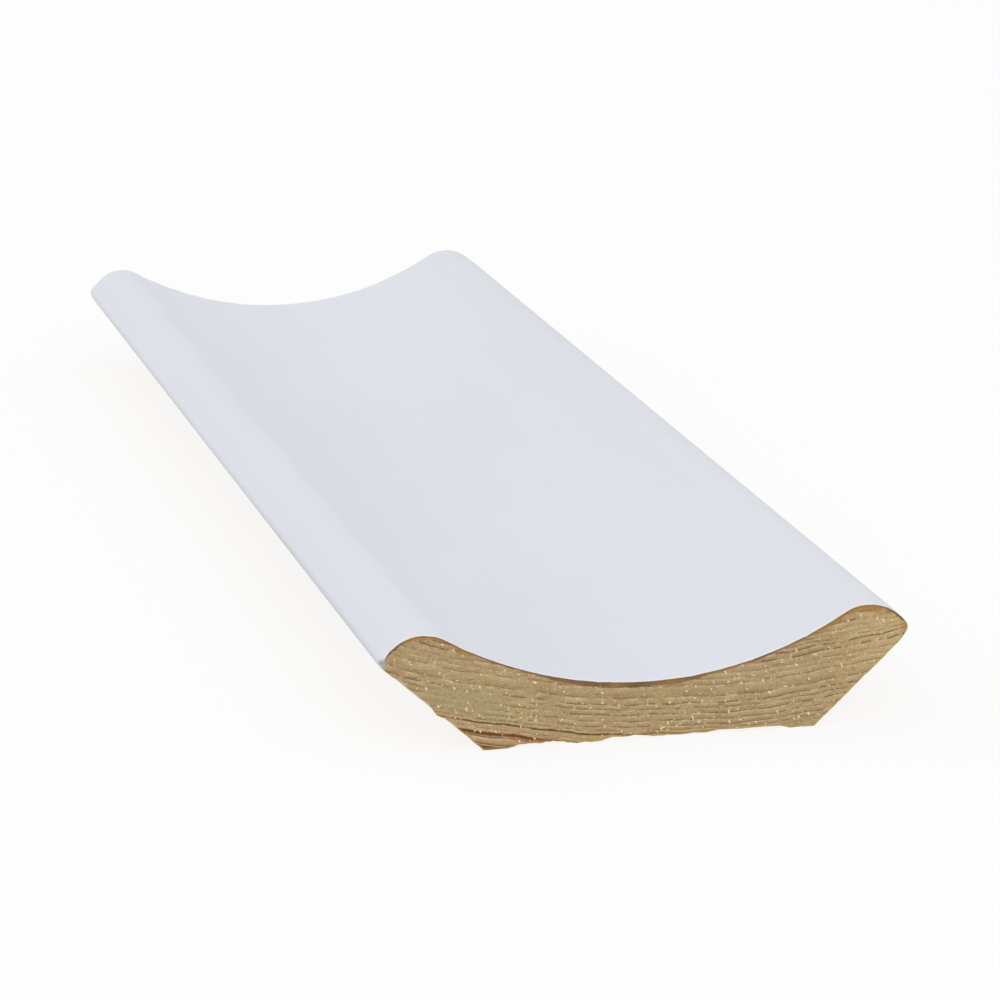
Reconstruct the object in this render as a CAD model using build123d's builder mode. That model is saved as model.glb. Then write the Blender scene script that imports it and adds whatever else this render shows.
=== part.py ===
from build123d import *
from math import atan2, cos, degrees, radians, sin
import os

# A short length of sprung cove moulding, planed from one piece of pine.
# It lies on its back: X runs across the face, Y along the grain and Z up through the thickness.

# Stock sizes, millimetres and degrees
face_width = 59.0  # over the two outer corners, before their arrises are broken
thickness = 13.0  # from the back to the top of the rolls
length = 250.0  # from one sawn end to the other

# Moulded face: a hollow between two rounded rolls, each running out in a straight lip
web_thickness = 6.3  # wood left under the middle of the cove
roll_radius = 5.0
lip_slope = 40.0  # fall of the lip from the roll to the outer corner
lip_width = 2.5  # straight part of the lip, along its slope

# Seats against the wall and the ceiling
seat_angle = 42.0  # each seat to the back: cut back from 45, so that the outer corner closes on the wall
corner_round = 0.8  # broken arris at the outer corners
heel_round = 0.3  # broken arris where a seat meets the back

# Relieved back, so that only two narrow feet touch a level surface
foot_width = 2.7  # flat of each foot, out to the sharp heel
relief_depth = 0.3  # hollow planed between the feet
relief_slope = 16.0  # sides of that hollow

# Each lip leaves its roll on a tangent and ends at the outer corner
roll_centre_x = face_width / 2 - lip_width * cos(radians(lip_slope)) - roll_radius * sin(radians(lip_slope))
roll_centre_z = thickness - roll_radius

# The cove goes down to the web and touches both rolls from outside, which settles its radius
roll_rise = roll_centre_z - web_thickness
cove_radius = (roll_centre_x**2 + roll_rise**2 - roll_radius**2) / (2 * (thickness - web_thickness))
cove_centre_z = web_thickness + cove_radius
cove_half_angle = degrees(atan2(roll_centre_x, cove_centre_z - roll_centre_z))

with BuildPart() as cove_moulding:
    with BuildSketch(Plane.XZ) as section:
        with BuildLine():
            # Right half of the moulded face, from the middle of the cove to the outer corner
            cove = CenterArc((0, cove_centre_z), cove_radius, -90, cove_half_angle)
            roll = JernArc(cove @ 1, cove % 1, roll_radius, -(cove_half_angle + lip_slope))
            lip = PolarLine(roll @ 1, lip_width, -lip_slope)

            # Right half of the underside, from the outer corner to the middle of the back
            corner_height = (lip @ 1).Y
            seat = PolarLine(lip @ 1, corner_height, seat_angle - 180, length_mode=LengthMode.VERTICAL)
            foot = PolarLine(seat @ 1, foot_width, 180)
            relief_side = PolarLine(
                foot @ 1, relief_depth, 180 - relief_slope, length_mode=LengthMode.VERTICAL
            )
            Line(relief_side @ 1, (0, relief_depth))
            mirror(about=Plane.YZ)
        make_face()

        # Break the arrises that a hand would feel: the outer corners, then the heels on the back
        across_face = section.vertices().sort_by(Axis.X)
        fillet([across_face[0], across_face[-1]], corner_round)
        across_back = section.vertices().group_by(Axis.Y)[0].sort_by(Axis.X)
        fillet([across_back[0], across_back[-1]], heel_round)
    extrude(amount=length / 2, both=True)

cove_moulding.part.label = "cove_moulding"

os.makedirs("parts", exist_ok=True)
export_step(cove_moulding.part, "parts/cove_moulding.step")
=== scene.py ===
# %% [markdown]
# # A short length of cove moulding
# A cove moulding closes the corner between a wall and a ceiling. This one is planed from one piece of
# pine, painted white on its moulded face and sawn off square at both ends, so that the growth rings
# show there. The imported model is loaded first: it gives the size and the place of the real piece, and
# everything below is drawn in its frame, in metres, with X across the face, Y along the grain and Z up.

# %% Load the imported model
import math
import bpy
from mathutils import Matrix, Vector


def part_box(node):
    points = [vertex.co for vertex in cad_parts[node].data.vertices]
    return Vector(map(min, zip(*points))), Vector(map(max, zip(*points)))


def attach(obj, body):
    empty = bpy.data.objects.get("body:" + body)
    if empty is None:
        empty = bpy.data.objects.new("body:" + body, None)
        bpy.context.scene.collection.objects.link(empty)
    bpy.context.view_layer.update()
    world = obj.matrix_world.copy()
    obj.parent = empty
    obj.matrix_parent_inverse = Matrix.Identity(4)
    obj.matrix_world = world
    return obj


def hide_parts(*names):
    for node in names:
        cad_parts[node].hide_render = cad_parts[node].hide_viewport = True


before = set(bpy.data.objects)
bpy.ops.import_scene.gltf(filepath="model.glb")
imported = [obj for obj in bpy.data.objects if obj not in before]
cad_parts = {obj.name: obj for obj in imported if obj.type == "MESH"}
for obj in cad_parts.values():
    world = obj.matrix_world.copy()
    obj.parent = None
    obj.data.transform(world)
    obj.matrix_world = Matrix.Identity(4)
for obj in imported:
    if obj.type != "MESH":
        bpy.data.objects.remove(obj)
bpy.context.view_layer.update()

from types import SimpleNamespace

import bpy
import numpy as np
from mathutils import Matrix, Vector

NODE = "cove_moulding"
node_low, node_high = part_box(NODE)
print("packed model:", [round(v, 4) for v in node_low], "to", [round(v, 4) for v in node_high])

# %% [markdown]
# ## The section
# The planer's knives give a moulding its section, and everything else about its shape follows from
# that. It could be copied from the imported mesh, but that is cut into coarse chords. So the same few
# sizes are written here again and the outline is worked out as true arcs and straight lines: a hollow
# between two rounded rolls, a lip outside each roll, a sloping seat under each lip, and a back
# that is hollowed a little between two feet.

# %% Sizes of the section
MM = 0.001
LENGTH = node_high[1] - node_low[1]
THICKNESS = node_high[2] - node_low[2]
FACE_WIDTH = 59 * MM
WEB = 6.3 * MM
ROLL_RADIUS = 5 * MM
LIP_SLOPE = math.radians(40)
LIP_WIDTH = 2.5 * MM
SEAT_ANGLE = math.radians(42)
RIGHT_ANGLE = math.pi / 2


def toward(angle):
    """Unit vector (cos a, sin a) in the section."""
    return np.array([math.cos(angle), math.sin(angle)])


lip_facing = RIGHT_ANGLE - LIP_SLOPE
seat_facing = SEAT_ANGLE - RIGHT_ANGLE
lip = LIP_WIDTH * toward(-LIP_SLOPE)
roll_to_lip = ROLL_RADIUS * toward(lip_facing)
roll_centre = np.array([FACE_WIDTH / 2 - lip[0] - roll_to_lip[0], THICKNESS - ROLL_RADIUS])
outer_corner = roll_centre + roll_to_lip + lip
heel = outer_corner - outer_corner[1] * np.array([1 / math.tan(SEAT_ANGLE), 1])

roll_rise = roll_centre[1] - WEB
cove_radius = (roll_centre[0] ** 2 + roll_rise**2 - ROLL_RADIUS**2) / (2 * (THICKNESS - WEB))
cove_centre = np.array([0.0, WEB + cove_radius])
cove_half_angle = math.atan2(roll_centre[0], cove_centre[1] - roll_centre[1])
print(f"cove radius {cove_radius / MM:.2f} mm, outer corners {outer_corner[1] / MM:.2f} mm up")

# %% Corners of the section
CORNER_ROUND = 0.8 * MM
HEEL_ROUND = 0.3 * MM
FOOT_WIDTH = 2.7 * MM
RELIEF_DEPTH = 0.3 * MM
RELIEF_SLOPE = math.radians(16)


def round_centre(corner, radius, first, last):
    """Centre of a round between two faces whose outward normals n, m lie at the angles first and last:
    corner - radius (n + m) / (1 + n . m)."""
    n = toward(first)
    m = toward(last)
    return corner - radius * (n + m) / (1 + n @ m)


corner_centre = round_centre(outer_corner, CORNER_ROUND, lip_facing, seat_facing)
heel_centre = round_centre(heel, HEEL_ROUND, seat_facing, -RIGHT_ANGLE)
lip_top = roll_centre + roll_to_lip
lip_end = corner_centre + CORNER_ROUND * toward(lip_facing)
widest = corner_centre + CORNER_ROUND * toward(0)
seat_top = corner_centre + CORNER_ROUND * toward(seat_facing)
seat_end = heel_centre + HEEL_ROUND * toward(seat_facing)
foot_outside = heel_centre + HEEL_ROUND * toward(-RIGHT_ANGLE)
foot_inside = heel - (FOOT_WIDTH, 0)
relief_edge = foot_inside + RELIEF_DEPTH * np.array([-1 / math.tan(RELIEF_SLOPE), 1])
back_middle = np.array([0.0, RELIEF_DEPTH])
foot_flat = foot_outside[0] - foot_inside[0]
print(f"half width {widest[0] / MM:.2f} mm, flat of each foot {foot_flat / MM:.2f} mm")

# %% The outline as arcs and straight lines
COVE_POINTS = 80
ROLL_POINTS = 40
LIP_POINTS = 10
UPPER_CORNER_POINTS = 10
LOWER_CORNER_POINTS = 8
SEAT_POINTS = 50
HEEL_POINTS = 7
FOOT_POINTS = 16
RELIEF_POINTS = 7
BACK_POINTS = 52


def arc(centre, radius, start, end, count):
    """Points centre + radius (cos a, sin a), while a goes evenly from start to just before end."""
    angle = np.linspace(start, end, count, endpoint=False)[:, None]
    return centre + radius * np.hstack([np.cos(angle), np.sin(angle)])


def straight(start, end, count):
    """Points start + t (end - start), while t goes evenly from 0 to just before 1."""
    share = np.linspace(0, 1, count, endpoint=False)[:, None]
    return start + share * (end - start)


def both_sides(right_half):
    """The whole stretch from left to right: the mirrored half, then the half without its first point."""
    return np.vstack([right_half[::-1] * (-1, 1), right_half[1:]])


right_face = np.vstack([
    arc(cove_centre, cove_radius, -RIGHT_ANGLE, cove_half_angle - RIGHT_ANGLE, COVE_POINTS),
    arc(roll_centre, ROLL_RADIUS, RIGHT_ANGLE + cove_half_angle, lip_facing, ROLL_POINTS),
    straight(lip_top, lip_end, LIP_POINTS),
    arc(corner_centre, CORNER_ROUND, lip_facing, 0, UPPER_CORNER_POINTS),
    [widest],
])
right_underside = np.vstack([
    arc(corner_centre, CORNER_ROUND, 0, seat_facing, LOWER_CORNER_POINTS),
    straight(seat_top, seat_end, SEAT_POINTS),
    arc(heel_centre, HEEL_ROUND, seat_facing, -RIGHT_ANGLE, HEEL_POINTS),
    straight(foot_outside, foot_inside, FOOT_POINTS),
    straight(foot_inside, relief_edge, RELIEF_POINTS),
    straight(relief_edge, back_middle, BACK_POINTS),
    [back_middle],
])[::-1]

face = both_sides(right_face)
underside = both_sides(right_underside)
outline = np.vstack([face, underside[-2:0:-1]])
print(f"{len(face)} points over the face, {len(underside)} under it, {len(outline)} round the section")

# %% [markdown]
# ## The wood as a formula
# Growth rings are cylinders round the pith of the tree, which lay far above this face, so a sawn end
# shows them as shallow bowls. The rings are not even: they waver, and good years and bad years make
# them wider or closer. A picture of wood could be laid on, but it would not run from the end round to
# the back. One formula gives the place of every ring instead. It is written with plain operators, so
# that it works on numpy arrays, which shape the sawn ends, and also on sockets, which colour the wood:
# the relief then follows the dark lines.

# %% A socket that can be used in sums
class Wire:
    """A socket that takes part in arithmetic: each operator adds a Math node to its material."""

    def __init__(self, finish, socket):
        self.finish = finish
        self.socket = socket

    def maths(self, operation, *others, swapped=False):
        """A Math node on this wire and the others, or on the same values in the opposite order."""
        values = (self, *others)
        inputs = dict(enumerate(values[::-1] if swapped else values))
        return self.finish.node("ShaderNodeMath", {"operation": operation}, inputs)

    def output(self, name):
        """Another output of the node that this wire comes from."""
        return Wire(self.finish, self.socket.node.outputs[name])

    def __add__(self, other):
        return self.maths("ADD", other)

    __radd__ = __add__

    def __mul__(self, other):
        return self.maths("MULTIPLY", other)

    __rmul__ = __mul__

    def __sub__(self, other):
        return self.maths("SUBTRACT", other)

    def __rsub__(self, other):
        return self.maths("SUBTRACT", other, swapped=True)

    def __truediv__(self, other):
        return self.maths("DIVIDE", other)

    def __rtruediv__(self, other):
        return self.maths("DIVIDE", other, swapped=True)

    def __pow__(self, other):
        return self.maths("POWER", other)

    def __rpow__(self, other):
        return self.maths("POWER", other, swapped=True)

    def __abs__(self):
        return self.maths("ABSOLUTE")

    def limited(self):
        """The value held between 0 and 1."""
        return self.maths("MAXIMUM", 0.0).maths("MINIMUM", 1.0)


def sine(value):
    """Sine of an array, or of a wire."""
    return value.maths("SINE") if isinstance(value, Wire) else np.sin(value)


def whole(value):
    """The whole number below an array or a wire."""
    return value.maths("FLOOR") if isinstance(value, Wire) else np.floor(value)


def diagonal(aside, up):
    """Root of aside squared and up squared together, for arrays or for wires."""
    squares = aside * aside + up * up
    return squares.maths("SQRT") if isinstance(squares, Wire) else np.sqrt(squares)


# %% Growth rings, in millimetres
NEAR_END = node_low[1] / MM
PITH_X = 7.0
PITH_Z = 112.0
PITH_WANDER = 2.0
WANDER_TURN = 0.013
TAPER = 0.009
BROAD_WAVE = 0.10
FINE_WAVE = 0.05
RING_WIDTH = 0.66
GOOD_YEARS = (0.5, 0.85)
BAD_YEARS = (0.2, 2.3)
WEB_SAMPLES = 400


def from_pith(x, y, z):
    """Distance from the pith of the tree, from a place in millimetres: the pith wanders along the grain,
    the trunk tapers, and two waves, with turns in radians a millimetre, keep the rings from being true
    circles."""
    along = y - NEAR_END
    aside = x - PITH_X - PITH_WANDER * sine(along * WANDER_TURN)
    out = diagonal(aside, z - PITH_Z) + TAPER * along
    broad = BROAD_WAVE * sine(0.37 * x + 0.02 * along + 0.6)
    fine = FINE_WAVE * sine(1.2 * x - 0.04 * along + 0.5 * z)
    return out + broad + fine


def ring_number(out):
    """Count of rings out from the pith: the distance over the ring width, plus a slow and a quick wave
    for good and bad years. Each wave has a height in rings and a turn in radians a millimetre."""
    slow = GOOD_YEARS[0] * sine(out * GOOD_YEARS[1])
    quick = BAD_YEARS[0] * sine(out * BAD_YEARS[1] + 1.0)
    return out / RING_WIDTH + slow + quick


web_heights = np.linspace(RELIEF_DEPTH, WEB, WEB_SAMPLES) / MM
web_rings = whole(ring_number(from_pith(0.0, NEAR_END, web_heights)))
print("rings through the web:", len(np.unique(web_rings)))

# %% [markdown]
# ## The body
# The body is the outline carried along the grain. A saw doesn't leave a clean arris: fibres break out
# along the edges, most of all on the underside where the teeth come through. Cutting each chip with a
# Boolean would be slow and brittle. Here the outline itself changes near the ends: it shrinks by small
# ragged chips, grows where torn fibres still hang on, and is pressed in where a corner was knocked.
# The rows of points stand close together near the ends and far apart in the middle, where nothing
# changes. The second row still lies deeper than the marks of the saw, or the rim would fold over it.

# %% Rows along the grain, and the way inward from each point of the outline
END_ZONE = 5 * MM
END_ROWS = 10
END_CROWDING = 2
MIDDLE_STEP = 4 * MM

from_end = END_ZONE * np.linspace(0, 1, END_ROWS) ** END_CROWDING
middle_steps = round((LENGTH - 2 * END_ZONE) / MIDDLE_STEP)
middle_rows = np.linspace(END_ZONE, LENGTH - END_ZONE, middle_steps + 1)[1:-1]
rows = node_low[1] + np.concatenate([from_end, middle_rows, LENGTH - from_end[::-1]])

LOOP = len(outline)
ACROSS = len(face)
LEFT_CORNER = 0
RIGHT_CORNER = ACROSS - 1
on_face = np.arange(LOOP) < ACROSS
from_middle = np.abs(outline[:, 0])
steps = np.linalg.norm(np.roll(outline, -1, axis=0) - outline, axis=1)
along_outline = np.concatenate([[0], np.cumsum(steps)[:-1]])
tangent = np.roll(outline, -1, axis=0) - np.roll(outline, 1, axis=0)
tangent /= np.linalg.norm(tangent, axis=1)[:, None]
inward = np.stack([tangent[:, 1], -tangent[:, 0]], axis=1)
print(f"{len(rows)} rows, the first two {from_end[1] / MM:.3f} mm apart")
print(f"{steps.sum() / MM:.1f} mm round the section")

# %% Chips along the sawn arrises
CHIP_LENGTH = 1.3 * MM
SPLINTER_LENGTH = 0.4 * MM
CHIP_SHARE = 0.7
FACE_CHIP = 0.11 * MM
FOOT_CHIP = 0.08 * MM
LEFT_CHIP = 0.6 * MM
RIGHT_CHIP = 0.10 * MM
draw = np.random.default_rng(11)


def ragged(step):
    """Random heights between 0 and 1 at even steps along the outline, joined by straight lines."""
    knots = np.arange(0, along_outline[-1] + 2 * step, step)
    return np.interp(along_outline, knots, draw.random(len(knots)))


def chips():
    """Depth of the chips round one sawn end: chips and finer splinters, squared so that most are small.
    They are shallow on the painted side and on the feet, deep on the left where the saw came through,
    and less so on the right."""
    quarter = FACE_WIDTH / 4
    deepest = np.interp(outline[:, 0], (-quarter, quarter), (LEFT_CHIP, RIGHT_CHIP))
    by_foot = (from_middle > relief_edge[0]) & (from_middle < heel[0] + HEEL_ROUND / 2)
    deepest = np.where(by_foot, FOOT_CHIP, deepest)
    deepest = np.where(on_face, FACE_CHIP, deepest)
    coarse = ragged(CHIP_LENGTH) ** 2
    fine = ragged(SPLINTER_LENGTH) ** 2
    return deepest * (CHIP_SHARE * coarse + (1 - CHIP_SHARE) * fine)


near_chips = chips()
far_chips = chips()
print(f"deepest chips {near_chips.max() / MM:.2f} and {far_chips.max() / MM:.2f} mm")

# %% Torn fibres that hang on at the near end
BURRS = ((-7.7, 3.6, 0.30), (3.5, 4.0, 0.16))
BURR_RAGGED = 0.12
SEAT_BURR = 0.40 * MM
SEAT_BURR_LENGTH = 1.7 * MM
SEAT_BURR_SPAN = (0.24, 0.44, 0.4654, 0.85)


def burrs(heights):
    """Torn fibres that hang into the hollow of the back, as smooth bumps exp(-((x - middle) / half)^4),
    each with a middle, a half width and a depth in millimetres and a slightly ragged edge."""
    across = outline[:, 0] / MM
    in_hollow = (from_middle < relief_edge[0]) & ~on_face
    bumps = sum(depth * np.exp(-(((across - middle) / half) ** 4)) for middle, half, depth in BURRS)
    return np.where(in_hollow, bumps * (1 - BURR_RAGGED + BURR_RAGGED * heights), 0) * MM


def seat_burrs(heights):
    """Torn fibres that stand out from the left seat: squared heights, fading towards its two edges."""
    seat_bottom = HEEL_ROUND
    seat_height = corner_centre[1] - CORNER_ROUND - seat_bottom
    up_seat = (outline[:, 1] - seat_bottom) / seat_height
    fade = np.interp(up_seat, SEAT_BURR_SPAN, (0, 1, 1, 0))
    on_left_seat = ~on_face & (outline[:, 0] < -heel[0])
    return np.where(on_left_seat, SEAT_BURR * fade * heights**2, 0)


torn_back = burrs(ragged(SPLINTER_LENGTH))
torn_seat = seat_burrs(ragged(SEAT_BURR_LENGTH))
print(f"torn fibres up to {torn_back.max() / MM:.2f} mm in the hollow of the back")
print(f"and up to {torn_seat.max() / MM:.2f} mm on the left seat")

# %% Knocked corners, and the outline of every row
CHIP_REACH = 0.6 * MM
KNOCK_REACH = 2.0 * MM
NEAR_KNOCK = 0.36 * MM
NEAR_KNOCK_HALF = 1.1 * MM
FAR_KNOCK = 0.75 * MM
FAR_KNOCK_HALF = 4.5 * MM


def knocked(corner, half):
    """Share of a knock that reaches each point of the outline:
    exp(-(distance from the corner / half)^2)."""
    around = np.abs(along_outline - along_outline[corner])
    around = np.minimum(around, steps.sum() - around)
    return np.exp(-((around / half) ** 2))


to_near = (rows - rows[0])[:, None]
to_far = (rows[-1] - rows)[:, None]
near_knock = knocked(RIGHT_CORNER, NEAR_KNOCK_HALF)
far_knock = knocked(LEFT_CORNER, FAR_KNOCK_HALF)
shrink = (near_chips - torn_back - torn_seat) * np.exp(-to_near / CHIP_REACH)
shrink += far_chips * (1 - far_knock) * np.exp(-to_far / CHIP_REACH)
shrink += NEAR_KNOCK * near_knock * np.exp(-to_near / KNOCK_REACH)
shrink += FAR_KNOCK * far_knock * np.exp(-to_far / KNOCK_REACH)
section_xz = outline + shrink[:, :, None] * inward
print(f"the outline moves in by {shrink.max() / MM:.2f} mm at most and out by {-shrink.min() / MM:.2f} mm")

# %% [markdown]
# ## The sawn ends
# A saw tears the soft early wood of each ring deeper than the hard late wood, and its teeth leave
# slanting scores. Both are only hundredths of a millimetre deep, but the end is what one looks at, so
# they are real relief: each end is a grid between the underside and the face, set back by a formula.
# The rims of the two grids are the first and the last row of the body, which closes the mesh.

# %% Relief of the sawn ends
SAW_DEPTH = 0.05
SOFT_SHARE = 0.55
SCORE_TURN = 6.5
SCORE_SLANT = 0.35
CAP_ROWS = 40


def sawn_depth(x, y, z):
    """How far a place drops below the end plane, in millimetres: early wood is 1 - (share of its ring that
    has passed)^3, and the scores are a sine wave that slants and sways a little."""
    count = ring_number(from_pith(x, y, z))
    soft = 1 - (count - whole(count)) ** 3
    sway = 1.5 * np.sin(0.4 * x)
    scores = 0.5 + 0.5 * np.sin(SCORE_TURN * (z + SCORE_SLANT * x) + sway)
    return SAW_DEPTH * (SOFT_SHARE * soft + (1 - SOFT_SHARE) * scores)


def sawn_end(row, sign):
    """Grid low + t (high - low) between the underside and the face of one end, set back by sawn_depth."""
    below = np.concatenate([[LEFT_CORNER], np.arange(LOOP - 1, RIGHT_CORNER, -1), [RIGHT_CORNER]])
    high = section_xz[row, :ACROSS]
    low = section_xz[row, below]
    share = np.linspace(0, 1, CAP_ROWS + 1)[:, None, None]
    x, z = np.moveaxis(low + share * (high - low), -1, 0)
    depth = sawn_depth(x / MM, rows[row] / MM, z / MM) * MM
    return np.stack([x, rows[row] + sign * depth, z], axis=-1)


near_end = sawn_end(0, 1)
far_end = sawn_end(-1, -1)
print(f"two ends of {near_end.shape[0]} by {near_end.shape[1]} points")

# %% All points, and their numbers
skin = np.empty((len(rows), LOOP, 3))
skin[..., 0] = section_xz[..., 0]
skin[..., 1] = rows[:, None]
skin[..., 2] = section_xz[..., 1]
for row, end in ((0, near_end), (-1, far_end)):
    skin[row, :ACROSS] = end[-1]
    skin[row, ACROSS:] = end[0, -2:0:-1]

skin_index = np.arange(len(rows) * LOOP).reshape(len(rows), LOOP)
inside_shape = (CAP_ROWS - 1, ACROSS - 2)
inside_count = math.prod(inside_shape)


def end_index(row, first):
    """Numbers of the points of a sawn end: its rim is shared with the skin, its inside starts at first."""
    index = np.empty((CAP_ROWS + 1, ACROSS), dtype=int)
    index[1:-1, 1:-1] = first + np.arange(inside_count).reshape(inside_shape)
    index[-1] = skin_index[row, :ACROSS]
    index[0, 1:-1] = skin_index[row, :RIGHT_CORNER:-1]
    index[:, 0] = skin_index[row, LEFT_CORNER]
    index[:, -1] = skin_index[row, RIGHT_CORNER]
    return index


near_index = end_index(0, skin_index.size)
far_index = end_index(-1, skin_index.size + inside_count)
insides = [end[1:-1, 1:-1].reshape(-1, 3) for end in (near_end, far_end)]
points = np.vstack([skin.reshape(-1, 3), *insides])
print(f"{len(points)} points")

# %% [markdown]
# ## Faces and a map
# A mesh needs faces, and an export that bakes the finish into a picture needs to know where each face
# lies on it. An automatic unwrapping would cut the piece into many scraps. A moulding is simpler: its
# face and its underside roll out as two long strips, and the two ends lie flat below them, enlarged,
# because the end grain is so much finer than anything else.

# %% Faces, with their places on the map
MAP_PIXELS = 1024
MAP_GAP = 8
END_PIXELS_PER_MM = 16
PAINTED, PLANED, SAWN = range(3)


def cell_list(grid):
    """The cells of a grid as one list, with the four corners of each in order round it."""
    corners = np.stack([grid[:-1, :-1], grid[:-1, 1:], grid[1:, 1:], grid[1:, :-1]], axis=2)
    return corners.reshape(-1, *corners.shape[2:])


def island(u, v, bottom, width, height):
    """Places of a grid on the map: u and v run from 0 to 1 over a rectangle given in pixels."""
    u, v = np.broadcast_arrays(u, v)
    return np.stack([MAP_GAP + u * width, bottom + v * height], axis=-1) / MAP_PIXELS


def length_share(chain):
    """Distance along a chain of points, from 0 at the first to 1 at the last."""
    reach = np.concatenate([[0], np.cumsum(np.linalg.norm(np.diff(chain, axis=0), axis=1))])
    return reach / reach[-1]


end_wide = FACE_WIDTH / MM * END_PIXELS_PER_MM
end_tall = THICKNESS / MM * END_PIXELS_PER_MM
strip_wide = MAP_PIXELS - 2 * MAP_GAP
strip_tall = (MAP_PIXELS - 2 * end_tall - 5 * MAP_GAP) / 2
tall_below = np.array([0, end_tall, end_tall, strip_tall])
near_bottom, far_bottom, face_bottom, under_bottom = np.cumsum(tall_below + MAP_GAP)

grain_share = to_near / LENGTH
face_columns = np.arange(ACROSS)
under_columns = np.append(np.arange(RIGHT_CORNER, LOOP), LEFT_CORNER)
across_end = near_end[..., 0] / FACE_WIDTH + 0.5
up_end = near_end[..., 2] / THICKNESS

strips = []
long_sides = ((face_columns, face_bottom, PAINTED), (under_columns, under_bottom, PLANED))
for columns, bottom, finish in long_sides:
    places = island(grain_share, length_share(outline[columns]), bottom, strip_wide, strip_tall)
    strips.append((cell_list(skin_index[:, columns]), cell_list(places), finish))
for index, bottom, turn in ((near_index, near_bottom, 1), (far_index, far_bottom, -1)):
    places = island(across_end, up_end, bottom, end_wide, end_tall)
    strips.append((cell_list(index)[:, ::turn], cell_list(places)[:, ::turn], SAWN))

cells = np.vstack([strip[0] for strip in strips])
cell_places = np.vstack([strip[1] for strip in strips])
cell_finish = np.concatenate([np.full(len(strip[0]), strip[2]) for strip in strips])
keep = cells != np.roll(cells, -1, axis=1)
corner_counts = keep.sum(axis=1)
corner_points = cells[keep]
corner_places = cell_places[keep]
print(f"{len(cells)} faces, {(corner_counts - 2).sum()} triangles")

# %% Distances from the paint and from the bare underside
GAP_CHUNK = 4000


def gap_to(chain, places):
    """Shortest distance, in millimetres, from places in the section to the points of a chain. The places
    are taken in large chunks, because the table of all distances at once would be big."""
    chunks = np.array_split(places, len(places) // GAP_CHUNK + 1)
    gaps = [np.linalg.norm(chunk[:, None] - chain, axis=2).min(axis=1) for chunk in chunks]
    return np.concatenate(gaps) / MM


point_sections = points[:, (0, 2)]
paint_gap = gap_to(face, point_sections)
arris_gap = gap_to(underside, point_sections)
print(f"bare wood lies up to {paint_gap.max():.1f} mm away from the paint")

# %% The mesh object
SHARP_ANGLE = math.radians(15)

mesh = bpy.data.meshes.new(NODE)
mesh.vertices.add(len(points))
mesh.vertices.foreach_set("co", points.ravel())
mesh.loops.add(len(corner_points))
mesh.loops.foreach_set("vertex_index", corner_points)
mesh.polygons.add(len(cells))
mesh.polygons.foreach_set("loop_start", np.cumsum(corner_counts) - corner_counts)
mesh.polygons.foreach_set("material_index", cell_finish)
mesh.polygons.foreach_set("use_smooth", np.ones(len(cells), dtype=bool))
bake_map = mesh.uv_layers.new(name="OFBake")
bake_map.uv.foreach_set("vector", corner_places.ravel())
for name, values in (("paint_gap", paint_gap), ("arris_gap", arris_gap)):
    attribute = mesh.attributes.new(name, "FLOAT", "POINT")
    attribute.data.foreach_set("value", values)
mesh.update(calc_edges=True)
mesh.set_sharp_from_angle(angle=SHARP_ANGLE)
print("mesh had to be repaired:", mesh.validate(verbose=False))

moulding = bpy.data.objects.new("cove_moulding_wood", mesh)
bpy.context.scene.collection.objects.link(moulding)
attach(moulding, "root")
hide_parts(NODE)

# %% [markdown]
# ## Finishes
# Each finish is a material that is built from places on the piece itself, in millimetres, so that a
# ring that shows on the end goes on along the back. The nodes could be drawn by hand in the shader
# editor, but a formula is easier to read and to change. One method adds any node: it takes the node's
# type, its settings and its sockets, and gives back a wire. A finish keeps a colour, and each mark on
# the wood or the paint is laid over it as a tint.

# %% A finish under construction
def from_screen(red, green, blue):
    """A screen colour of 0 to 255 as the linear colour that a shader works with."""
    share = np.array([red, green, blue]) / 255
    linear = np.where(share <= 0.04045, share / 12.92, ((share + 0.055) / 1.055) ** 2.4)
    return (*linear.tolist(), 1.0)


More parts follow.
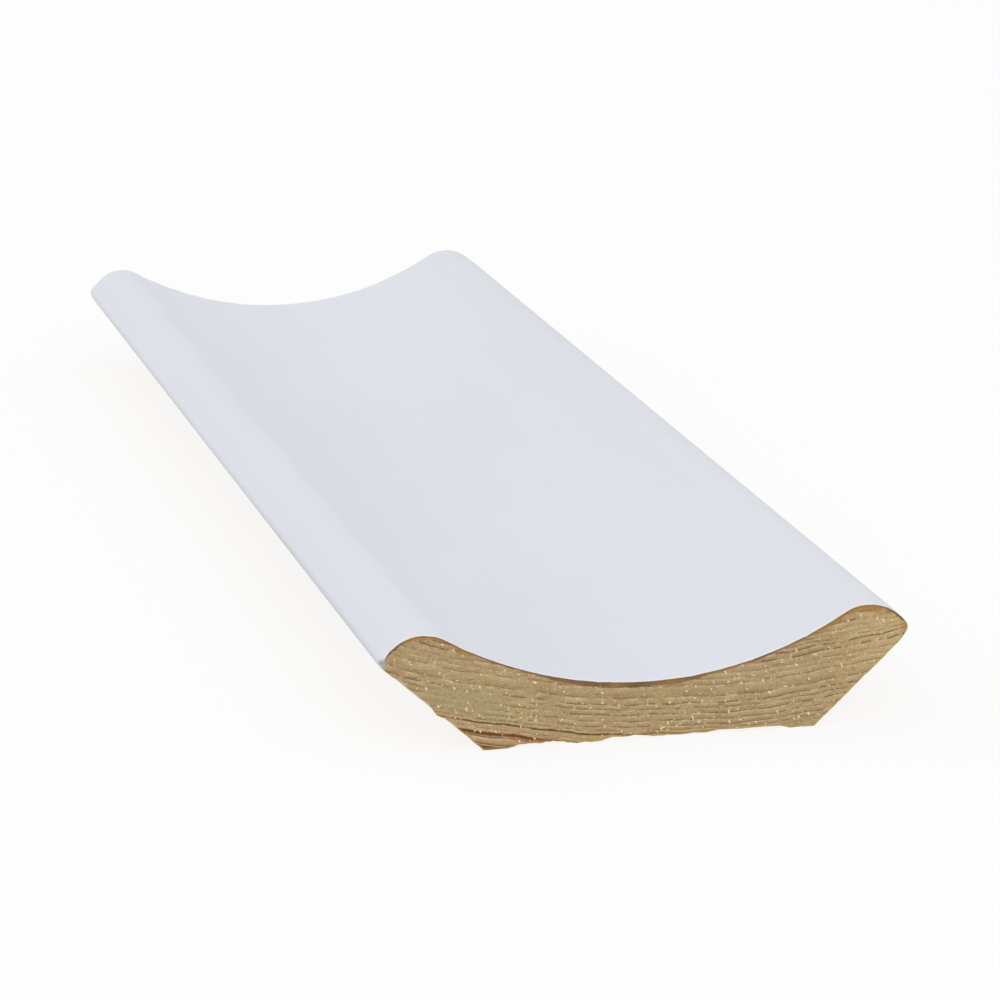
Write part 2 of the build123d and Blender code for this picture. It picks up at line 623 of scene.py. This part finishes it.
class Finish:
    """A material, its shader, its colour so far, and the one method that adds nodes to it."""

    def __init__(self, name):
        self.material = bpy.data.materials.new(name)
        self.material.use_nodes = True
        self.tree = self.material.node_tree
        self.shader = self.tree.nodes["Principled BSDF"]
        self.colour = None

    def feed(self, sockets, name, value):
        """Sets a socket, found by name or number among those in use, or links a wire to it."""
        in_use = [s for s in sockets if s.enabled]
        socket = in_use[name] if isinstance(name, int) else next(s for s in in_use if s.name == name)
        if isinstance(value, Wire):
            self.tree.links.new(value.socket, socket)
        else:
            socket.default_value = value

    def node(self, kind, settings=None, sockets=None, output=0):
        """Adds a node, sets it up and feeds its sockets. The wire comes from one of its outputs, given by
        name or number."""
        made = self.tree.nodes.new(kind)
        for name, value in (settings or {}).items():
            setattr(made, name, value)
        for name, value in (sockets or {}).items():
            self.feed(made.inputs, name, value)
        outputs = [s for s in made.outputs if s.enabled]
        return Wire(self, outputs[output] if isinstance(output, int) else made.outputs[output])

    def shade(self, **sockets):
        """Feeds the shader's own sockets, with underscores for the spaces in their names."""
        for name, value in sockets.items():
            self.feed(self.shader.inputs, name.replace("_", " "), value)

    def place(self):
        """Where a spot lies on the piece, in millimetres."""
        return self.stretched(self.node("ShaderNodeTexCoord", output="Object"), (1 / MM, 1 / MM, 1 / MM))

    def stretched(self, vector, factors):
        """A vector whose three numbers are each multiplied by a factor."""
        return self.node("ShaderNodeVectorMath", {"operation": "MULTIPLY"}, {0: vector, 1: factors})

    def axes(self, vector):
        """The three numbers of a vector, as wires."""
        split = self.node("ShaderNodeSeparateXYZ", None, {0: vector})
        return [split.output(axis) for axis in "XYZ"]

    def noise(self, place, lumps, detail=2.0, roughness=0.5):
        """Cloudy noise between 0 and 1, with that many lumps a millimetre along each axis."""
        sockets = {"Vector": self.stretched(place, lumps), "Scale": 1.0}
        sockets.update({"Detail": detail, "Roughness": roughness})
        return self.node("ShaderNodeTexNoise", None, sockets)

    def step(self, value, span, shares=(0.0, 1.0)):
        """A smooth step from the first share to the second, while a value crosses the span."""
        sockets = {"Value": value, "From Min": span[0], "From Max": span[1]}
        sockets.update({"To Min": shares[0], "To Max": shares[1]})
        return self.node("ShaderNodeMapRange", {"interpolation_type": "SMOOTHSTEP"}, sockets)

    def mixed(self, share, first, second):
        """A colour between two colours."""
        sockets = {"Factor": share, "A": first, "B": second}
        return self.node("ShaderNodeMix", {"data_type": "RGBA"}, sockets)

    def tint(self, share, colour):
        """Lays a colour over what is there so far."""
        self.colour = self.mixed(share, self.colour, colour)

    def stored(self, name):
        """A number that the mesh stores at its points."""
        return self.node("ShaderNodeAttribute", {"attribute_name": name}, output="Fac")

    def bump(self, height, distance):
        """A slope for the Normal socket, from a height between 0 and 1 that stands for a distance."""
        return self.node("ShaderNodeBump", None, {"Height": height, "Distance": distance, "Strength": 1.0})


print("a finish takes colours such as", [round(v, 3) for v in from_screen(222, 225, 233)])

# %% [markdown]
# ### White paint
# The face was coated at the factory: primer and a satin white, rolled out so evenly that it shows
# almost nothing. A single flat colour would look like plastic, so the paint gets the little that a real
# coat has: a faint cloudiness, a fine orange peel, a chalky edge where the saw went through it, and the
# ripple that the planer's knives left in the wood under it. Round one corner the colour is greyed a
# little.

# %% Paint on the moulded face
PAINT = from_screen(222, 225, 233)
SHADED_PAINT = from_screen(220, 223, 231)
CHALK = from_screen(233, 235, 240)
CHALK_SHARE = 0.7
CHALK_REACH = (0.1, 1.2)
CORNER_GREY = from_screen(166, 162, 155)
CORNER_GREY_MIDDLE = (-28.85, NEAR_END, 10.15)
CORNER_GREY_REACH = (0.1, 1.0)
RIPPLE_STEP = 1.7
RIPPLE_SWAY = 2.5
COAT_RELIEF = 0.012 * MM


def grey_corner(finish, place):
    """A grey patch round one corner: full within the first reach of its middle and gone at the second."""
    aside = finish.node("ShaderNodeVectorMath", {"operation": "DISTANCE"}, {0: place, 1: CORNER_GREY_MIDDLE})
    finish.tint(finish.step(aside, CORNER_GREY_REACH, (1, 0)), CORNER_GREY)


white = Finish("white_paint")
place = white.place()
_, y, _ = white.axes(place)
clouds = white.step(white.noise(place, (0.06, 0.012, 0.06), detail=3), (0.35, 0.65))
white.colour = white.mixed(clouds, SHADED_PAINT, PAINT)
white.tint(white.step(LENGTH / MM / 2 - abs(y), CHALK_REACH, (CHALK_SHARE, 0)), CHALK)
grey_corner(white, place)

peel = white.noise(place, (1.6, 1.1, 1.6))
sway = white.noise(place, (0.05, 0.02, 0.05))
ripple = sine(y * (2 * math.pi / RIPPLE_STEP) + RIPPLE_SWAY * sway)
white.shade(
    Base_Color=white.colour,
    Roughness=0.42 + 0.08 * white.noise(place, (0.3, 0.1, 0.3)),
    Normal=white.bump(0.7 * peel + 0.12 * ripple, COAT_RELIEF),
)
print("paint:", len(white.tree.nodes), "nodes")

# %% [markdown]
# ### Growth rings in the finish
# On a sawn end each ring shows as a thin dark line of late wood, with the pale early wood of the next
# year behind it. On the planed faces the same rings run lengthways. The lines are broken into dashes
# and no two years are equally dark, so both finishes share one set of marks, built from the formula
# for the rings. A slight waver is added here, finer than the mesh could show.

# %% Marks that the rings leave
WAVER = 0.22
DASH_ACROSS = 0.75
DASH_ALONG = 0.02
YEAR_APART = 5.3


def ring_marks(finish, place, power):
    """Marks of the rings at a place. out is the distance from the pith; passed is the share of a ring that
    lies behind; late wood is passed^power and early wood (1 - passed)^power, both broken into dashes."""
    x, y, z = finish.axes(place)
    waver = finish.noise(place, (0.9, 0.02, 1.6))
    out = from_pith(x, y, z) + WAVER * (waver - 0.5)
    count = ring_number(out)
    year = whole(count)
    passed = count - year
    tone = finish.node("ShaderNodeTexWhiteNoise", {"noise_dimensions": "1D"}, {"W": year})
    sockets = {0: x * DASH_ACROSS, 1: y * DASH_ALONG, 2: year * YEAR_APART}
    dash_place = finish.node("ShaderNodeCombineXYZ", None, sockets)
    dash = finish.noise(dash_place, (1, 1, 1), detail=3, roughness=0.65)
    late = passed**power * finish.step(dash, (0.40, 0.52)) * (0.3 + 0.8 * tone)
    early = (1 - passed) ** power * finish.step(dash, (0.44, 0.60))
    return SimpleNamespace(out=out, dash=dash, late=late, early=early)


def paint_rim(finish, place, reach, ragged_by):
    """Paint that runs on over the bare wood as far as reach, in millimetres, with a ragged edge."""
    edge = finish.stored("paint_gap") + ragged_by * finish.noise(place, (1.2, 0.15, 1.2), detail=3)
    finish.tint(finish.step(edge - reach, (0.4 * ragged_by, 0.6 * ragged_by), (1, 0)), PAINT)


print(f"dashes about {1 / DASH_ACROSS:.1f} mm across and {1 / DASH_ALONG:.0f} mm along the grain")

# %% [markdown]
# ### The sawn ends
# A sawn end is rough and drinks light, so it looks darker than a planed face of the same board. Its
# colour is built up as a painter would: a cloudy ground first, then the fibres, then the rings, and on
# the left a patch where the saw smeared the rings. Some years at the back grew hard and resinous, and
# they show as dark red bands. A picture would be quicker, but it would fit this one end alone.

# %% Ground colours of the sawn ends
PALE_GROUND = from_screen(177, 153, 113)
BROWN_GROUND = from_screen(168, 141, 104)
GREEN_GROUND = from_screen(173, 157, 108)
LIGHT_GROUND = from_screen(196, 170, 119)
RESINOUS = from_screen(176, 122, 86)
RESIN_RINGS = (111.9, 113.4)
SMEARED = from_screen(157, 148, 111)
SMEAR_MIDDLE = (-20.0, 5.8)
SMEAR_HALF = (6.0, 2.0)
SMEAR_SLOPE = 0.15

sawn = Finish("sawn_pine")
place = sawn.place()
x, _, z = sawn.axes(place)
rings = ring_marks(sawn, place, power=4.2)
clouds = sawn.step(sawn.noise(place, (0.16, 0.01, 0.40), detail=3), (0.32, 0.68))
sawn.colour = sawn.mixed(clouds, PALE_GROUND, BROWN_GROUND)
green = sawn.step(sawn.noise(place, (0.11, 0.01, 0.30)), (0.48, 0.66))
sawn.tint(green * sawn.step(x, (0, 9), (0.45, 0.10)), GREEN_GROUND)
sawn.tint(sawn.step(x, (17, 27), (0, 0.65)), LIGHT_GROUND)
resin = sawn.step(rings.out, RESIN_RINGS) * sawn.step(x, (-8, 0), (1, 0))
sawn.tint(resin * sawn.step(x, (-17, -11), (0.4, 0.8)), RESINOUS)

smear_along = x - SMEAR_MIDDLE[0]
smear_up = z - SMEAR_MIDDLE[1] + SMEAR_SLOPE * smear_along
smear_out = diagonal(smear_along / SMEAR_HALF[0], smear_up / SMEAR_HALF[1])
smear = sawn.step(smear_out, (0.5, 1.1), (1, 0))
unsmeared = 1 - 0.7 * smear
sawn.tint(0.45 * smear, SMEARED)
print("ground of the sawn ends:", len(sawn.tree.nodes), "nodes")

# %% Fibres and rings of the sawn ends
DARK_FIBRE = from_screen(140, 114, 78)
PALE_FIBRE = from_screen(204, 181, 138)
STREAK = from_screen(128, 101, 64)
EARLY_WOOD = from_screen(212, 190, 146)
LATE_WOOD = from_screen(76, 53, 27)
HARD_WOOD = from_screen(98, 58, 20)
HARD_YEARS = ((111.80, 0.14, 0.95), (112.92, 0.24, 1.00), (114.4, 0.26, 1.00))

fibre = sawn.noise(place, (4.5, 0.05, 5.5), roughness=0.6)
sawn.tint(sawn.step(fibre, (0.50, 0.72), (0, 0.5)), DARK_FIBRE)
sawn.tint(sawn.step(fibre, (0.28, 0.48), (0.5, 0)), PALE_FIBRE)
streaks = sawn.noise(place, (0.5, 0.02, 6.0), detail=3, roughness=0.6)
sawn.tint(unsmeared * sawn.step(streaks, (0.56, 0.70), (0, 0.6)), STREAK)
late = unsmeared * rings.late
sawn.tint(0.8 * unsmeared * rings.early, EARLY_WOOD)
sawn.tint(late, LATE_WOOD)

hard_part = sawn.step(x, (2, 10), (1, 0)) * sawn.step(rings.dash, (0.2, 0.5))
for radius, half_width, share in HARD_YEARS:
    band = sawn.step(abs(rings.out - radius), (0.4 * half_width, half_width), (share, 0))
    sawn.tint(hard_part * band, HARD_WOOD)
print("with fibres and rings:", len(sawn.tree.nodes), "nodes")

# %% [markdown]
# ### Resin canals
# Pine has fine canals for its resin. Cut across, they show as pale flecks, some round and some drawn
# out by the saw. Flecks from a plain noise would run together, so a Voronoi texture deals out cells,
# some of the cells are chosen, and each of those gets one fleck with a size and a slant of its own.
# Four sets of flecks overlap, from fine and dense to long and rare.

# %% Resin canals on the sawn ends
CANAL = from_screen(244, 224, 182)
CANALS = (
    {"cell": 1.5, "share": 0.52, "wide": 0.26, "tall": 0.32},
    {"cell": 2.4, "share": 0.42, "wide": 0.17, "tall": 0.52},
    {"cell": 1.0, "share": 0.36, "wide": 0.18, "tall": 0.20},
    {"cell": 1.7, "share": 0.36, "wide": 0.38, "tall": 0.14},
)
frayed = sawn.noise(place, (5.0, 0.02, 5.0), roughness=0.6)
flocks = sawn.noise(place, (0.25, 0.02, 0.35))


def canals(cell, share, wide, tall):
    """Pale flecks in a share of the cells of an uneven grid. A fleck is a frayed oval about the middle of
    its cell, wide by tall millimetres, with a slant, a size and a brightness of its own."""
    grid = sawn.node("ShaderNodeCombineXYZ", None, {0: x / cell, 1: z / cell})
    settings = {"voronoi_dimensions": "2D"}
    dealt = sawn.node("ShaderNodeTexVoronoi", settings, {"Vector": grid, "Scale": 1.0}, "Color")
    middle_x, middle_z, _ = sawn.axes(dealt.output("Position"))
    luck = sawn.node("ShaderNodeSeparateColor", None, {0: dealt})
    size = 0.5 + 0.5 * luck.output("Green")
    slant = luck.output("Blue") - 0.5
    brightness = 0.35 + 0.65 * luck.output("Blue")
    up = z - middle_z * cell
    aside = x - middle_x * cell + slant * up
    reach = diagonal(aside / wide, up / tall) / size + 0.9 * frayed
    chosen = sawn.step(luck + 0.002 * x + 0.5 * flocks, (1.24 - share, 1.26 - share))
    return sawn.step(reach, (0.75, 1.2), (1, 0)) * chosen * brightness


flecks = sum(canals(**canal) for canal in CANALS).limited()
sawn.tint(0.9 * flecks, CANAL)
print("with resin canals:", len(sawn.tree.nodes), "nodes")

# %% [markdown]
# ### Edges of the sawn ends
# Primer soaks into end grain, so the wood is stained dark along the painted edge, deepest below the hollow
# and ochre inside the rolls; the dark band along the edge is partly painted shade under the paint's edge.
# The bare arrises are golden, where light comes through thin fibres, and a corner that was knocked has
# turned brown. The paint itself is a hair-thin white rim. All of these follow the edges, and so they read
# the distances that the mesh stores at its points.

# %% Stains and painted shade along the edges
DEEP_STAIN_AND_SHADE = from_screen(104, 72, 44)
LIGHT_STAIN_AND_SHADE = from_screen(142, 102, 54)
DEEP_MIDDLE = -2.0
DEEP_HALF = 11.0
OCHRE = from_screen(158, 116, 56)
ROLL_INSIDE = (16.0, 19.0)
ROLL_OUTSIDE = (25.5, 27.5)
ROLL_TOP = 24.4
GOLDEN = from_screen(182, 150, 78)

from_paint = sawn.stored("paint_gap")
edge_clouds = sawn.noise(place, (0.5, 0.02, 0.5))
nicks = sawn.noise(place, (2.2, 0.02, 2.2), detail=3, roughness=0.6) - 0.5
# The dark band under the paint's edge is partly primer stain and partly painted shade, strongest below the
# hollow.
deeper = sawn.step(abs(x - DEEP_MIDDLE), (0.4 * DEEP_HALF, DEEP_HALF), (0.34, 0))
stain_and_shade_gap = from_paint + 0.4 * edge_clouds + 0.3 * nicks - deeper
patches = sawn.step(sawn.noise(place, (0.35, 0.02, 0.35), detail=3), (0.34, 0.70))
sawn.tint(sawn.step(stain_and_shade_gap, (0.38, 0.58), (0.85, 0)), sawn.mixed(patches, DEEP_STAIN_AND_SHADE, LIGHT_STAIN_AND_SHADE))

across = abs(x)
in_rolls = sawn.step(across, ROLL_INSIDE) * sawn.step(across, ROLL_OUTSIDE, (1, 0))
roll_tops = sawn.step(abs(across - ROLL_TOP), (0.8, 2.8), (0.35, 0))
ochre_gap = from_paint + 2.0 * edge_clouds + 0.8 * nicks - roll_tops
sawn.tint(in_rolls * sawn.step(ochre_gap, (1.05, 1.6), (0.75, 0)), OCHRE)
sawn.tint(sawn.step(sawn.stored("arris_gap"), (0.05, 0.45), (0.5, 0)), GOLDEN)
print("with stained edges:", len(sawn.tree.nodes), "nodes")

# %% Knocked corner, paint rim and relief of the sawn ends
NOSE_BROWN = from_screen(176, 124, 62)
NOSE = (28.7, 10.4)
NOSE_REACH = (0.3, 1.0)
FILM = 0.03
LEFT_WRAP = 0.40
LEFT_WRAP_SPAN = (-28.9, -27.9)
RIM_RAGGED = 0.06
SAWN_RELIEF = 0.06 * MM

to_nose = diagonal(x - NOSE[0], z - NOSE[1])
sawn.tint(sawn.step(to_nose, NOSE_REACH, (0.8, 0)), NOSE_BROWN)
paint_rim(sawn, place, sawn.step(x, LEFT_WRAP_SPAN, (FILM + LEFT_WRAP, FILM)), RIM_RAGGED)
grey_corner(sawn, place)
sawn.shade(
    Base_Color=sawn.colour,
    Roughness=0.88 - 0.12 * late,
    Normal=sawn.bump(0.5 * fibre - 0.5 * late + 0.4 * flecks, SAWN_RELIEF),
)
print("sawn ends:", len(sawn.tree.nodes), "nodes")

# %% [markdown]
# ### The planed seats and back
# Nobody paints what goes against the wall. The seats and the back are bare pine, as the planer left
# it: paler and smoother than the sawn ends, with the rings as long streaks and flames. They need no
# drawing of their own, because the formula for the rings already reaches through the whole piece. The
# spray of paint ends in a ragged line just past the corner.

# %% Bare planed pine
PALE_PINE = from_screen(228, 199, 153)
WARM_PINE = from_screen(220, 185, 136)
PLANED_FIBRE = from_screen(196, 158, 108)
PLANED_LATE_WOOD = from_screen(176, 124, 70)
OVERSPRAY = 0.5
OVERSPRAY_RAGGED = 0.9
PLANED_RELIEF = 0.03 * MM

planed = Finish("planed_pine")
place = planed.place()
late = ring_marks(planed, place, power=2.0).late
clouds = planed.step(planed.noise(place, (0.10, 0.008, 0.2), detail=3), (0.3, 0.7))
planed.colour = planed.mixed(clouds, PALE_PINE, WARM_PINE)
fibre = planed.noise(place, (3.0, 0.05, 3.0), detail=3, roughness=0.6)
planed.tint(planed.step(fibre, (0.4, 0.8), (0, 0.25)), PLANED_FIBRE)
planed.tint(0.85 * late, PLANED_LATE_WOOD)
paint_rim(planed, place, OVERSPRAY, OVERSPRAY_RAGGED)
planed.shade(
    Base_Color=planed.colour,
    Roughness=0.62 - 0.12 * late,
    Normal=planed.bump(0.5 * fibre + 0.3 * late, PLANED_RELIEF),
)

finishes = {PAINTED: white, PLANED: planed, SAWN: sawn}
for number in sorted(finishes):
    mesh.materials.append(finishes[number].material)
print("finishes:", [material.name for material in mesh.materials])

# %% [markdown]
# ## Floor and sky
# The piece lies as on a light table. Most of the light comes evenly from a white sky, also from below,
# because the floor lets it through. A brighter sky would make a whiter background, but it would bleach
# the paint. So the floor and the sky look white to the camera and in reflections without adding that
# light to the piece, and the floor keeps a soft shadow. From behind it is clear, so that the underside
# can be looked at too.

# %% A pale floor
FLOOR_HALF = 6.0
FLOOR_DROP = 0.02 * MM
FLOOR_SHADE = (0.95, 0.95, 0.95, 1.0)
FLOOR_LIFT = 0.85
WHITE = (1.0, 1.0, 1.0, 1.0)
SHOWING_RAYS = ("Is Camera Ray", "Is Glossy Ray", "Is Transmission Ray")


def seen_directly(finish):
    """1 for rays that show the stage, straight or in a reflection, and 0 for those that light things."""
    path = finish.node("ShaderNodeLightPath")
    return sum(path.output(name) for name in SHOWING_RAYS).limited()


floor_signs = np.array([(-1, -1, 0), (1, -1, 0), (1, 1, 0), (-1, 1, 0)])
floor_points = FLOOR_HALF * floor_signs + (0, 0, node_low[2] - FLOOR_DROP)
floor_mesh = bpy.data.meshes.new("floor")
floor_mesh.from_pydata(floor_points.tolist(), [], [(0, 1, 2, 3)])
floor = bpy.data.objects.new("floor", floor_mesh)
floor.visible_diffuse = False
floor.visible_shadow = False
bpy.context.scene.collection.objects.link(floor)

table = Finish("pale_floor")
plain = table.node("ShaderNodeBsdfDiffuse", None, {"Color": FLOOR_SHADE})
glow = table.node("ShaderNodeEmission", None, {"Color": WHITE, "Strength": 1.0})
lift = FLOOR_LIFT * seen_directly(table)
from_above = table.node("ShaderNodeMixShader", None, {0: lift, 1: plain, 2: glow})
see_through = table.node("ShaderNodeBsdfTransparent")
from_below = table.node("ShaderNodeNewGeometry", output="Backfacing")
surface = table.node("ShaderNodeMixShader", None, {0: from_below, 1: from_above, 2: see_through})
table.tree.links.new(surface.socket, table.tree.nodes["Material Output"].inputs["Surface"])
floor_mesh.materials.append(table.material)
print(f"floor {2 * FLOOR_HALF:.0f} m wide")

# %% A white sky
SKY_LIGHT = 0.68


class Sky(Finish):
    """The world's nodes, with the same methods."""

    def __init__(self, world):
        world.use_nodes = True
        self.tree = world.node_tree
        self.shader = self.tree.nodes["Background"]


world = bpy.data.worlds.new("white_sky")
bpy.context.scene.world = world
sky = Sky(world)
seen = seen_directly(sky)
sky.shade(Color=WHITE, Strength=seen + (1 - seen) * SKY_LIGHT)
print("light from the sky:", SKY_LIGHT)

# %% [markdown]
# ## Lamps
# Even light alone leaves a white face flat. One wide lamp in front lights the sawn end, and a weaker
# one at the back shows the curve of the hollow. They are large and far away, so that their shadows
# stay soft, and they don't show in reflections, where a square patch would look like a window.

# %% Two soft lamps
LAMP_SIZE = 1.4


def soft_lamp(name, location, power):
    """A square lamp that faces the middle of the piece."""
    data = bpy.data.lights.new(name, "AREA")
    data.size = LAMP_SIZE
    data.energy = power
    lamp = bpy.data.objects.new(name, data)
    lamp.location = location
    lamp.rotation_euler = (-Vector(location)).to_track_quat("-Z", "Y").to_euler()
    lamp.visible_glossy = False
    bpy.context.scene.collection.objects.link(lamp)
    print(f"{name}: {power} W, {Vector(location).length:.2f} m away")


soft_lamp("front_lamp", location=(0.0, -2.0, 1.0), power=18.5)
soft_lamp("back_lamp", location=(-0.9, 1.8, 1.1), power=13)

# %% [markdown]
# ## Camera
# The camera stands to the left of the piece with a long lens, so that both ends and the whole hollow
# show with little perspective. Its place, its aim and its slight roll come from laying the outlines of
# the model over those of the real piece, which is surer than moving it by eye.

# %% A long lens from the left
CAMERA_PLACE = Vector((-128.89, -724.57, 153.03)) * MM
LOOKS_AT = Vector((8.05, 0.0, 0.87)) * MM
ROLL = math.radians(1.627)
FOCAL_PIXELS = 5890.5
FRAME_PIXELS = 1000
SENSOR_WIDTH = 36
NEAREST_SEEN = 10 * MM

optics = bpy.data.cameras.new("camera")
optics.sensor_width = SENSOR_WIDTH
optics.lens = FOCAL_PIXELS / FRAME_PIXELS * SENSOR_WIDTH
optics.clip_start = NEAREST_SEEN
camera = bpy.data.objects.new("camera", optics)
level = (LOOKS_AT - CAMERA_PLACE).to_track_quat("-Z", "Y").to_matrix().to_4x4()
camera.matrix_world = Matrix.Translation(CAMERA_PLACE) @ level @ Matrix.Rotation(-ROLL, 4, "Z")
bpy.context.scene.collection.objects.link(camera)
bpy.context.scene.camera = camera
bpy.context.scene.view_settings.view_transform = "Standard"
print(f"lens {optics.lens:.0f} mm, {(LOOKS_AT - CAMERA_PLACE).length:.2f} m away")
